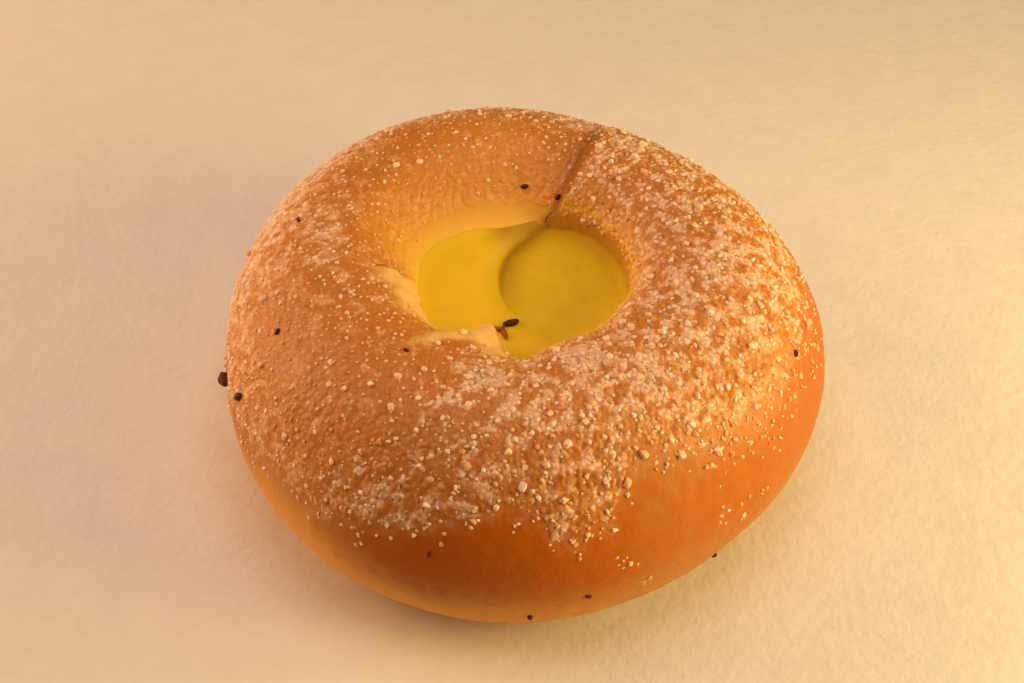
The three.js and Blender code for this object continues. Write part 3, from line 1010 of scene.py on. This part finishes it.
def clear_cover(form, angle, station, places):
    """How thickly clear sugar lies on the crust, from 0 to 1."""
    left = smoothstep(*CLEAR_LEFT_FROM, angle) * (1 - smoothstep(*CLEAR_LEFT_TO, angle))
    under_fringe = fringe(angle) - CLEAR_ABOVE_FRINGE + CLEAR_RIGHT_REACH * near(angle, *CLEAR_RIGHT)
    low_edge = mix(under_fringe, CLEAR_LOW_EDGE, left) + lumps_at(places, CLEAR_RAGGED)
    inner, outer = low_edge - mix(*CLEAR_INNER_FADE, left), low_edge + mix(*CLEAR_OUTER_FADE, left)
    clear_of_well = smoothstep(-1, mix(*CLEAR_OF_WELL, form.funnel_share(angle)), station)
    bare = bare_share(form, angle, station, places)
    return (1 - smoothstep(inner, outer, station)) * clear_of_well * (1 - bare)


def glint_cover(form, angle, station, places):
    """How thickly small clear grains lie on the crust, from 0 to 1."""
    clear = clear_cover(form, angle, station, places) * (1 - dry_area(form, angle, station, places))
    return clear * (1 - form.funnel_share(angle) * form.stain_share(angle, places))


class SugarKind(NamedTuple):
    """Loose sugar: where it lies, how soaked and how proud its grains are, and if some lie in clusters."""

    name: str
    cover: Callable
    soaked: tuple
    proud: tuple
    clustered: bool


class SugarSheet(NamedTuple):
    """Sugar melted to a sheet: where it lies and is full, its rise, how soaked it is, and its gaps."""

    name: str
    cover: Callable
    angles: tuple
    full_at: tuple
    rise: tuple
    soaked: tuple
    gaps: float


SUGAR_KINDS = (
    SugarKind("coarse", dry_cover, soaked=(0.05, 0.65), proud=(-0.4, -0.1), clustered=True),
    SugarKind("fine", dry_cover, soaked=(0.05, 0.65), proud=(-0.3, 0.1), clustered=False),
    SugarKind("glint", glint_cover, soaked=(0.0, 0.6), proud=(-0.2, 0.15), clustered=False),
)
SUGAR_SHEETS = (
    SugarSheet(
        "melted",
        dry_area,
        angles=(214, 436),
        full_at=(0.2, 0.9),
        rise=(-0.05 * MM, 0.28 * MM),
        soaked=(1.15, 0.1),
        gaps=0.4,
    ),
    SugarSheet(
        "clear",
        clear_cover,
        angles=(10, 262),
        full_at=(0, 0.75),
        rise=(0, 0.13 * MM),
        soaked=(1.6, 0.9),
        gaps=0.35,
    ),
)


def spread(form, per_cm2, rng):
    """Angles and stations spread evenly over the crust, with a random nudge."""
    station_steps, angle_steps = 400, 24
    stations = np.linspace(*GRAIN_STATIONS, station_steps)
    angles = np.linspace(0, 360, angle_steps, endpoint=False)
    rows = form.smooth_point(angles[:, None], stations[None])
    slant = np.linalg.norm(np.diff(rows, axis=1), axis=-1).mean(0)
    radius = np.hypot(rows[..., 0], rows[..., 1]).mean(0)
    area = np.concatenate([[0], np.cumsum(slant * math.tau * (radius[1:] + radius[:-1]) / 2)])
    count = int(area[-1] * CM2_PER_M2 * per_cm2)
    steps = (np.arange(count) + rng.uniform(0, 1, count)) / count
    station = np.interp(steps * area[-1], area, stations)
    angle = (np.arange(count) * GOLDEN_ANGLE + rng.uniform(-GRAIN_NUDGE, GRAIN_NUDGE, count)) % 360
    return angle, station


def clustered(form, rng):
    """Angles and stations of the grains that lie in clusters."""
    angle, station, width, count = np.array(CLUSTERS).T
    picks = np.repeat(np.arange(len(CLUSTERS)), count.astype(int))
    nudges = rng.normal(0, 1, (2, len(picks))) * width[picks]
    turned = angle[picks] + np.degrees(nudges[0] / form.sizes.bun_radius)
    return turned, station[picks] + nudges[1] / SHOULDER_LENGTH


def hull(points):
    """The convex solid round a few points, as its points and triangles."""
    made = bmesh.new()
    for point in points:
        made.verts.new(point)
    bmesh.ops.convex_hull(made, input=made.verts)
    bmesh.ops.delete(made, geom=[vert for vert in made.verts if not vert.link_faces], context="VERTS")
    bmesh.ops.triangulate(made, faces=made.faces)
    made.verts.index_update()
    places = np.array([vert.co for vert in made.verts])
    triangles = np.array([[vert.index for vert in face.verts] for face in made.faces])
    made.free()
    return places, triangles


def crystal_shape(rng):
    """A crystal of size 1: a blunt box whose sides bulge a little."""
    corners = np.array([(x, y, z) for x in (-1, 1) for y in (-1, 1) for z in (-1, 1)], float)
    sides = np.concatenate([np.eye(3), -np.eye(3)])
    blunted = corners * rng.uniform(*CORNER_REACH, (8, 1))
    bulged = sides * rng.uniform(*SIDE_REACH, (6, 1))
    proportions = (1, rng.uniform(*CRYSTAL_WIDTH), rng.uniform(*CRYSTAL_THICKNESS))
    return hull(np.concatenate([blunted, bulged]) * proportions / 2)


def random_turns(rng, count):
    """Random rotation matrices."""
    quaternions = rng.normal(0, 1, (count, 4))
    w, x, y, z = (quaternions / np.linalg.norm(quaternions, axis=1, keepdims=True)).T
    rows = [
        [1 - 2 * (y * y + z * z), 2 * (x * y - z * w), 2 * (x * z + y * w)],
        [2 * (x * y + z * w), 1 - 2 * (x * x + z * z), 2 * (y * z - x * w)],
        [2 * (x * z - y * w), 2 * (y * z + x * w), 1 - 2 * (x * x + y * y)],
    ]
    return np.moveaxis(np.array(rows), 2, 0)


class Heap(NamedTuple):
    """Many grains joined in one mesh, with the grain and the height over its middle of each vertex."""

    vertices: np.ndarray
    faces: np.ndarray
    grains: np.ndarray
    heights: np.ndarray


def strewn(shapes, turns, places, normals, sizes, rng):
    """Turned copies of a few shapes at places."""
    picks = rng.integers(0, len(shapes), len(places))
    vertices, faces, grains, heights, start = [], [], [], [], 0
    for pick, (points, triangles) in enumerate(shapes):
        chosen = np.flatnonzero(picks == pick)
        copies = np.einsum("nij,pj->npi", turns[chosen], points)
        heights.append(np.einsum("npi,ni->np", copies, normals[chosen]).ravel())
        vertices.append((copies * sizes[chosen, None, None] + places[chosen, None]).reshape(-1, 3))
        starts = start + len(points) * np.arange(len(chosen))
        faces.append((triangles[None] + starts[:, None, None]).reshape(-1, 3))
        grains.append(np.repeat(chosen, len(points)))
        start += len(points) * len(chosen)
    joined = [np.concatenate(lists) for lists in (vertices, faces, grains, heights)]
    return Heap(*joined)


def draws(seed):
    """Seeded random numbers from 0 to 1, the same as place the crystals of the solid."""
    state = seed
    while True:
        state = (state * DRAW_FACTOR + DRAW_SHIFT) % DRAW_RANGE
        yield state / DRAW_RANGE


def largest_crystals(form):
    """Angles, stations and sizes of the largest crystals, which the solid has too."""
    sizes = form.sizes
    draw = draws(CRYSTAL_SEED)
    innermost, outermost = sizes.well_radius + CRYSTAL_MARGINS[0], sizes.bun_radius - CRYSTAL_MARGINS[1]
    kept = []
    for number in range(CRYSTAL_TRIES):
        angle = number * GOLDEN_ANGLE % 360
        radius = math.sqrt(mix(innermost**2, outermost**2, (number + 0.5) / CRYSTAL_TRIES))
        outline = form.outline(angle)
        crest = sizes.crest_radius * outline / sizes.bun_radius
        end = outline if radius > crest else form.edge_radius(angle)
        station = math.asin(min(max((radius - crest) / (end - crest), 0), 1)) / QUARTER_TURN
        station = station if radius > crest else -station
        chance, big, *_ = (next(draw) for _ in range(CRYSTAL_DRAWS))
        turned = (angle - CRYSTALS_FROM) % 360 + CRYSTALS_FROM
        sugared = station < crystal_low_edge(angle)
        thin = THIN_SUGAR * (station < THIN_SUGAR_LOW_EDGE)
        if chance <= (thin if turned > 360 + CREASE[0] else sugared):
            kept.append((angle, station, mix(*CRYSTAL_SIZE, big**2)))
    return np.array(kept).T


class CUSTARDBUN_OT_crust(bpy.types.Operator):
    """Bakes the bun: its crust, its well, the two splits and the torn flap"""

    bl_idname = "custard_bun.crust"
    bl_label = "Bake the crust"
    bl_options = {"REGISTER", "UNDO"}

    segments = 508

    def execute(self, context):
        sizes = context.scene.bun_sizes
        form = BunForm(sizes)
        stretches = [np.linspace(*each, endpoint=False) for each in CRUST_STRETCHES]
        stations = np.concatenate([*stretches, WELL_FLOOR_STATIONS])
        angle, station = np.meshgrid(np.arange(self.segments) * 360 / self.segments, stations)
        places = form.point(angle, station)
        poles = polar(0, 0, FOOT_HEIGHT), polar(0, 0, FOOT_HEIGHT + sizes.well_floor_height)
        vertices = np.concatenate([poles[0].reshape(1, 3), places.reshape(-1, 3), poles[1].reshape(1, 3)])
        faces = closed_rings(len(stations), self.segments)
        masks = self.masks(form, angle, station, places)
        values = {key: np.concatenate([[0], mask.ravel(), [0]]) for key, mask in masks.items()}
        piece = new_piece(context, "baked_crust", vertices, faces, crust_finish(sizes), **values)
        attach(piece, "root")
        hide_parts("bun")
        return {"FINISHED"}

    def masks(self, form, angle, station, places):
        """Where the crust is browned, pale (partly painted floor bounce), pebbled, sugared, stained, in
        painted shade, and torn.
        """
        # The pale foot is partly its own colour and partly a painted floor bounce, reaching higher on the
        # lower left.
        lower_left = LOWER_LEFT_RISE * near(angle, *PALE_LOWER_LEFT)
        baked_right = BAKED_RIGHT_SHARE * near(angle, *BAKED_RIGHT_FOOT, power=4)
        baked_back = BAKED_BACK_SHARE * near(angle, *BAKED_BACK_FOOT, power=4)
        pale_and_bounce_foot = smoothstep(*PALE_FOOT, station + lower_left) * (1 - baked_right) * (1 - baked_back)
        along, half_length = BROWN_BAND
        brown_round = np.maximum(near(angle, *BROWN_FRONT), BROWN_RIGHT_SHARE * near(angle, *BROWN_RIGHT))
        band = soft(station - along, half_length) * mix(LEAST_BAND, 1, brown_round)
        browning = LEAST_BROWN + band - PALE_FOOT_SHARE * pale_and_bounce_foot + lumps_at(places, BROWN_PATCHES)
        # Painted shade on the well's wall at the back right and on the rim at the right, added to the painted
        # shade of the splits.
        shaded = SHADED_WALL_SHARE * near(angle, *SHADED_WALL) * (1 - smoothstep(*SHADED_WALL_ENDS, station))
        right_rim_shade = RIGHT_RIM_SHARE * patch(angle, station, *RIGHT_RIM)
        return {
            "browning": np.clip(browning, 0, 1),
            "pale": pale_and_bounce_foot,
            "pebbled": clear_cover(form, angle, station, places),
            "sugared": np.maximum(dry_cover(form, angle, station, places), RIGHT_RIM_SUGAR * right_rim_shade),
            "pebble": form.pebbles(angle, station, places),
            "stained": form.stain_share(angle, places),
            "smeared": form.smear_share(angle, places),
            "folded": np.maximum(form.fold_share(angle, station), shaded + right_rim_shade),
            "torn": form.torn_share(angle, station, places),
        }


class CUSTARDBUN_OT_custard(bpy.types.Operator):
    """Fills the well with set custard"""

    bl_idname = "custard_bun.custard"
    bl_label = "Fill the well"
    bl_options = {"REGISTER", "UNDO"}

    segments = 224
    wall_rings, top_rings = 6, 72
    skirt = 0.6 * MM

    def execute(self, context):
        sizes = context.scene.custard_sizes
        form = BunForm(context.scene.bun_sizes)
        bottom = FOOT_HEIGHT + context.scene.bun_sizes.well_floor_height + CUSTARD_GAP
        rings = self.rings(form, sizes, bottom)
        poles = np.array([(0, 0, bottom)]), np.array([(0, 0, custard_height(sizes, 0.0, 0.0))])
        vertices = np.concatenate([poles[0], *rings, poles[1]])
        faces = closed_rings(len(rings), self.segments)
        masks = self.masks(form, sizes, vertices)
        piece = new_piece(context, "custard_filling", vertices, faces, custard_finish(sizes), **masks)
        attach(piece, "root")
        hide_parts("custard")
        return {"FINISHED"}

    def rings(self, form, sizes, bottom):
        """Rings of points up the wall of the well, and over the top to its middle."""
        angle = np.arange(self.segments) * 360 / self.segments
        brim = form.wall_radius(angle, sizes.level) + self.skirt
        brim_places = polar(angle, brim, 0.0)
        brim_height = custard_height(sizes, brim_places[:, 0], brim_places[:, 1])
        rings = []
        for part in np.linspace(0, 1, self.wall_rings, endpoint=False):
            height = mix(bottom, brim_height, part)
            rings.append(polar(angle, form.wall_radius(angle, height) + self.skirt * part, height))
        for part in np.linspace(1, 0, self.top_rings, endpoint=False):
            top = polar(angle, brim * part, 0.0)
            top[:, 2] = custard_height(sizes, top[:, 0], top[:, 1])
            top[:, 2] += lumps_at(top, CUSTARD_LUMPS) + BRIM_CLIMB * smoothstep(*BRIM_PARTS, part)
            rings.append(top)
        return rings

    def masks(self, form, sizes, vertices):
        """Where the custard is the dollop, where shade is painted in the groove and below the back wall, and
        where a pale streak of painted sheen runs.
        """
        x, y = vertices[:, 0], vertices[:, 1]
        out, beside = past_dollop(sizes, x, y)
        past_streak = out - LOBE_EDGE - STREAK_OFFSET
        from_wall = form.wall_radius(np.degrees(np.arctan2(y, x)), sizes.level) - np.hypot(x, y)
        behind = smoothstep(*SHADED_FROM_FRONT, y) * smoothstep(*SHADED_FROM_LEFT, x)
        shaded = WALL_SHADE * soft(np.maximum(from_wall, 0), WALL_SHADE_REACH) * behind
        return {
            # The dollop's duller colour is partly painted shade.
            "dollop": smoothstep(-0.5, 0.5, -past_streak / mix(*DOLLOP_FADE, beside)),
            # Painted shade in the groove and below the back wall.
            "sunken": np.clip(np.maximum(beside * groove_share(sizes, out), shaded), 0, 1),
            # Painted sheen along the lobe's edge.
            "milky": STREAK_SHARE * beside**STREAK_NARROWS * soft(past_streak, STREAK_HALF_WIDTH),
        }


class CUSTARDBUN_OT_sugar(bpy.types.Operator):
    """Strews dry and clear sugar over the crust, with a few large crystals"""

    bl_idname = "custard_bun.sugar"
    bl_label = "Strew the sugar"
    bl_options = {"REGISTER", "UNDO"}

    columns, rows = 556, 178

    def execute(self, context):
        amounts = context.scene.sugar_amounts
        form = BunForm(context.scene.bun_sizes)
        finish = sugar_finish(amounts, context.scene.bun_sizes)
        for number, kind in enumerate(SUGAR_KINDS):
            rng = np.random.default_rng([amounts.seed, number])
            angle, station = spread(form, getattr(amounts, f"{kind.name}_per_cm2"), rng)
            cover = kind.cover(form, angle, station, form.smooth_point(angle, station))
            kept = rng.uniform(0, 1, len(angle)) < cover
            angle, station = angle[kept], station[kept]
            if kind.clustered:
                angle, station = np.concatenate([(angle, station), clustered(form, rng)], axis=1)
            usual_size = getattr(amounts, f"{kind.name}_size")
            sizes = usual_size * np.exp(rng.normal(0, GRAIN_SIZE_SPREAD, len(angle)))
            # Some patches whiten the grains as painted rim light, and one darkens them as painted shade.
            soaked = rng.uniform(*kind.soaked, len(angle)) - DRIER_GRAIN * dryness_and_painted_light(angle, station)
            grains = (angle, station, sizes)
            self.strew(context, f"{kind.name}_sugar", finish, grains, soaked, kind.proud, rng)
        for kind in SUGAR_SHEETS:
            self.sheet(context, form, finish, kind, getattr(amounts, f"{kind.name}_size"))
        rng = np.random.default_rng([amounts.seed, len(SUGAR_KINDS)])
        largest = largest_crystals(form)
        soaked = rng.uniform(*CRYSTAL_SOAKED, largest.shape[1])
        self.strew(context, "large_crystals", finish, largest, soaked, (-CRYSTAL_SUNK, CRYSTAL_SUNK), rng)
        return {"FINISHED"}

    def sheet(self, context, form, finish, kind, size):
        """Grains that are melted together in one sheet, which dips into the crust where there is no sugar."""
        angles = np.linspace(*kind.angles, self.columns) % 360
        angle, station = np.meshgrid(angles, np.linspace(*SHEET_STATIONS, self.rows))
        places = form.smooth_point(angle, station)
        cover = kind.cover(form, angle, station, places) * smoothstep(*SHEET_FADE, station)
        sunk = SHEET_SUNK * (1 - smoothstep(*kind.full_at, cover))
        rise = cover * mix(*kind.rise, grains_at(places, size, 2)) - sunk
        height = form.relief(angle, station, places) + rise
        raised = places + form.normal(angle, station) * height[..., None]
        row, column = np.arange(self.rows - 1)[:, None], np.arange(self.columns - 1)
        corner = (row * self.columns + column).reshape(-1, 1)
        faces = (corner + (0, 1, self.columns + 1, self.columns)).tolist()
        # Some patches whiten the sheet as painted rim light, and one darkens it as painted shade.
        soaked = mix(1, mix(*kind.soaked, clumps_at(places)), cover) - dryness_and_painted_light(angle, station)
        masks = {
            "soaked": soaked,
            "stained": form.stain_share(angle, places),
            "smeared": form.smear_share(angle, places),
            "torn": form.torn_share(angle, station, places),
            "melted": np.ones_like(soaked),
            "gaps": kind.gaps * cover,
        }
        values = {key: mask.ravel() for key, mask in masks.items()}
        piece = new_piece(context, f"{kind.name}_sugar", raised.reshape(-1, 3), faces, finish, **values)
        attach(piece, "root")

    def strew(self, context, name, finish, grains, soaked, proud, rng):
        """One piece of many grains, each more soaked towards the crust."""
        form = BunForm(context.scene.bun_sizes)
        angle, station, sizes = grains
        normals = form.normal(angle, station)
        rises = rng.uniform(*proud, len(angle)) * sizes
        places = form.point(angle, station) + normals * rises[:, None]
        shapes = [crystal_shape(rng) for _ in range(CRYSTAL_FORMS)]
        heap = strewn(shapes, random_turns(rng, len(angle)), places, normals, sizes, rng)
        shades = np.clip(soaked[heap.grains] + WETTER_BELOW * (DRY_HEIGHT - heap.heights), 0, 1)
        faces = heap.faces.tolist()
        piece = new_piece(context, name, heap.vertices, faces, finish, smooth=False, soaked=shades)
        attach(piece, "root")


class CUSTARDBUN_OT_seeds(bpy.types.Operator):
    """Presses the specks of seed into the crust and the custard"""

    bl_idname = "custard_bun.seeds"
    bl_label = "Press in the seeds"
    bl_options = {"REGISTER", "UNDO"}

    def execute(self, context):
        form = BunForm(context.scene.bun_sizes)
        rng = np.random.default_rng(SEED_DRAWS)
        finish = seed_finish()
        specks = []
        for number, (angle, station, size, red) in enumerate(SEED_SPECKS):
            at = form.point(np.array(float(angle)), np.array(float(station)))
            up = form.normal(np.array(float(angle)), np.array(float(station)))
            specks.append((at, up, size, SEED_WIDTH_SHARE, number, red))
        self.press(context, "seed_specks", finish, specks, rng)
        bits = []
        for x, y, size, width, heading, red in CUSTARD_BITS:
            at = np.array([x, y, custard_height(context.scene.custard_sizes, x, y)])
            bits.append((at, np.array([0.0, 0.0, 1.0]), size, width, math.radians(heading), red))
        self.press(context, "custard_seed", finish, bits, rng)
        return {"FINISHED"}

    def press(self, context, name, finish, bits, rng):
        """One piece of several seeds, each at a point, along a normal."""
        vertices, faces, reddish, start = [], [], [], 0
        for at, up, size, width, spin, red in bits:
            points, quads = self.seed(rng, width, spin)
            turn = np.array(Vector((0, 0, 1)).rotation_difference(Vector(up)).to_matrix())
            vertices.append(points * size @ turn.T + at + up * SEED_PROUD_SHARE * size)
            faces += [[corner + start for corner in face] for face in quads]
            reddish.append(np.clip(red + rng.normal(0, UNEVEN_RED, len(points)), 0, 1))
            start += len(points)
        joined, shades = np.concatenate(vertices), np.concatenate(reddish)
        piece = new_piece(context, name, joined, faces, finish, reddish=shades)
        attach(piece, "root")

    def seed(self, rng, width, spin):
        """One seed of length 1, ridged along its length and a little bent."""
        segments, rings = 14, 9
        slices = np.linspace(0, math.pi, rings + 2)[1:-1]
        turn = np.arange(segments) * math.tau / segments
        rough = rng.normal(0, SEED_ROUGHNESS, (rings, segments))
        girth = np.sin(slices)[:, None] * (1 + SEED_RIDGE_HEIGHT * np.cos(SEED_RIDGES * turn) + rough)
        along = np.broadcast_to(-np.cos(slices)[:, None], girth.shape)
        across = girth * np.cos(turn) * width + SEED_BEND * along**2
        sides = np.stack([along, across, girth * np.sin(turn) * width], axis=-1).reshape(-1, 3)
        points = np.concatenate([[(-1, SEED_BEND, 0)], sides, [(1, SEED_BEND, 0)]]) / 2
        cosine, sine = math.cos(spin), math.sin(spin)
        return points @ [(cosine, sine, 0), (-sine, cosine, 0), (0, 0, 1)], closed_rings(rings, segments)


class CUSTARDBUN_OT_stage(bpy.types.Operator):
    """Sets up the plain floor, the camera and the soft lights"""

    bl_idname = "custard_bun.stage"
    bl_label = "Set the stage"
    bl_options = {"REGISTER", "UNDO"}

    def execute(self, context):
        stage = context.scene.stage_settings
        half = FLOOR_HALF_WIDTH
        corners = ((-half, -half), (half, -half), (half, half), (-half, half))
        vertices = np.array([(x, y, FOOT_HEIGHT) for x, y in corners])
        floor = new_piece(context, "floor", vertices, [[0, 1, 2, 3]], floor_finish(stage), smooth=False)
        self.camera(context, stage)
        for name, settings in LAMPS.items():
            self.lamp(context, name, getattr(stage, f"{name}_power"), *settings)
        world = bpy.data.worlds.new("soft_light")
        world.use_nodes = True
        background = world.node_tree.nodes["Background"].inputs
        background["Color"].default_value = opaque(AMBIENT_TINT)
        background["Strength"].default_value = stage.ambient
        context.scene.world = world
        context.scene.view_settings.view_transform = "Standard"
        return {"FINISHED"}

    def camera(self, context, stage):
        """A camera in front of the bun, that looks down on it."""
        back = Vector((0, -math.cos(stage.elevation), math.sin(stage.elevation)))
        camera = bpy.data.objects.new("camera", bpy.data.cameras.new("camera"))
        camera.data.lens = stage.lens
        camera.data.sensor_width = SENSOR_WIDTH
        camera.data.clip_start = NEAREST_SEEN
        camera.location = Vector(stage.look) + back * stage.distance
        camera.rotation_euler = back.to_track_quat("Z", "Y").to_euler()
        context.scene.collection.objects.link(camera)
        context.scene.camera = camera

    def lamp(self, context, name, power, place, size, tint, spread_angle):
        """A soft square light that faces the bun."""
        light = bpy.data.lights.new(name, "AREA")
        light.size = size
        light.energy = power
        light.color = tint
        light.spread = math.radians(spread_angle)
        lamp = bpy.data.objects.new(name, light)
        lamp.location = place
        lamp.rotation_euler = (Vector(place) - LIGHTS_FACE).to_track_quat("Z", "Y").to_euler()
        context.scene.collection.objects.link(lamp)


class CUSTARDBUN_PT_panel(bpy.types.Panel):
    """The bun's sizes and finishes, and a button for each group of pieces"""

    bl_idname = "CUSTARDBUN_PT_panel"
    bl_label = "Custard Bun"
    bl_space_type = "VIEW_3D"
    bl_region_type = "UI"
    bl_category = "Custard Bun"

    def draw(self, context):
        for operator in OPERATORS:
            self.layout.operator(operator.bl_idname)
        for name, group in GROUPS.items():
            box = self.layout.box()
            for key in group.__annotations__:
                box.prop(getattr(context.scene, name), key)


GROUPS = {
    "bun_sizes": BunSizes,
    "custard_sizes": CustardSizes,
    "sugar_amounts": SugarAmounts,
    "stage_settings": StageSettings,
}
OPERATORS = (
    CUSTARDBUN_OT_stage,
    CUSTARDBUN_OT_crust,
    CUSTARDBUN_OT_custard,
    CUSTARDBUN_OT_sugar,
    CUSTARDBUN_OT_seeds,
)
CLASSES = (*GROUPS.values(), *OPERATORS, CUSTARDBUN_PT_panel)


def register():
    for each in CLASSES:
        bpy.utils.register_class(each)
    for name, group in GROUPS.items():
        setattr(bpy.types.Scene, name, PointerProperty(type=group))


def unregister():
    for name in GROUPS:
        delattr(bpy.types.Scene, name)
    for each in reversed(CLASSES):
        bpy.utils.unregister_class(each)


def main():
    register()
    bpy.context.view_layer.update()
    bpy.ops.custard_bun.stage()
    bpy.ops.custard_bun.crust()
    bpy.ops.custard_bun.custard()
    bpy.ops.custard_bun.sugar()
    bpy.ops.custard_bun.seeds()


if __name__ == "__main__":
    main()
